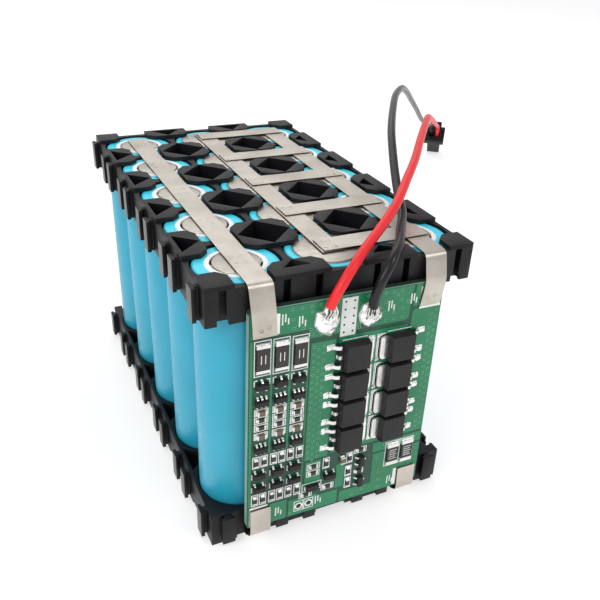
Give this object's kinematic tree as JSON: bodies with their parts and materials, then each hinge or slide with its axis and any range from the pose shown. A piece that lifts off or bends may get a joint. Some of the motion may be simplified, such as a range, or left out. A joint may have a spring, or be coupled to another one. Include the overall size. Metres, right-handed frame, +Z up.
{
  "type": "battery pack",
  "caption": "Block of round rechargeable cells clipped between black plastic holders and joined by nickel strips, with a protection board on one face and output leads ending in a plug.",
  "frame": {"origin": "centre of the pack's underside, on the surface that it stands on; the leads and plug are left out of the centre", "axes": "+Z up; X across the three columns of cells; -Y is the face with the protection board; +Y is the back"},
  "size_m": [0.2284, 0.2492, 0.0818],
  "materials": {
    "holder": "moulded, fine matt texture",
    "can": "nickel-plated can",
    "sleeve": "satin shrink sleeve",
    "nickel": "rolled nickel strip, satin",
    "board": "solder mask over glass-fibre board",
    "foam": "double-sided foam",
    "transistor": "moulded epoxy case",
    "solder": "bright solder",
    "red_wire": "silicone insulation",
    "black_wire": "silicone insulation",
    "plug": "moulded housing",
    "contact": "crimp contact"
  },
  "bodies": {
    "root": {"top_cell_holder": "holder", "bottom_cell_holder": "holder", "cell_left_1": "can", "cell_left_2": "can", "cell_left_3": "can", "cell_left_4": "can", "cell_left_5": "can", "cell_centre_1": "can", "cell_centre_2": "can", "cell_centre_3": "can", "cell_centre_4": "can", "cell_centre_5": "can", "cell_right_1": "can", "cell_right_2": "can", "cell_right_3": "can", "cell_right_4": "can", "cell_right_5": "can", "sleeve_left_1": "sleeve", "sleeve_left_2": "sleeve", "sleeve_left_3": "sleeve", "sleeve_left_4": "sleeve", "sleeve_left_5": "sleeve", "sleeve_centre_1": "sleeve", "sleeve_centre_2": "sleeve", "sleeve_centre_3": "sleeve", "sleeve_centre_4": "sleeve", "sleeve_centre_5": "sleeve", "sleeve_right_1": "sleeve", "sleeve_right_2": "sleeve", "sleeve_right_3": "sleeve", "sleeve_right_4": "sleeve", "sleeve_right_5": "sleeve", "strip_b_plus": "nickel", "top_rail_centre": "nickel", "top_rail_right": "nickel", "top_link_1": "nickel", "top_link_2": "nickel", "top_link_3": "nickel", "top_link_4": "nickel", "top_link_5": "nickel", "strip_b2_ladder": "nickel", "strip_b_minus": "nickel", "protection_board": "board", "board_foam_pad": "foam", "mosfet_1": "transistor", "mosfet_2": "transistor", "mosfet_3": "transistor", "mosfet_4": "transistor", "mosfet_5": "transistor", "mosfet_6": "transistor", "mosfet_7": "transistor", "mosfet_8": "transistor", "solder_joint_positive": "solder", "solder_joint_negative": "solder", "lead_red": "red_wire", "lead_black": "black_wire", "plug_housing": "plug", "plug_contact_1": "contact", "plug_contact_2": "contact"}
  },
  "joints": []
}
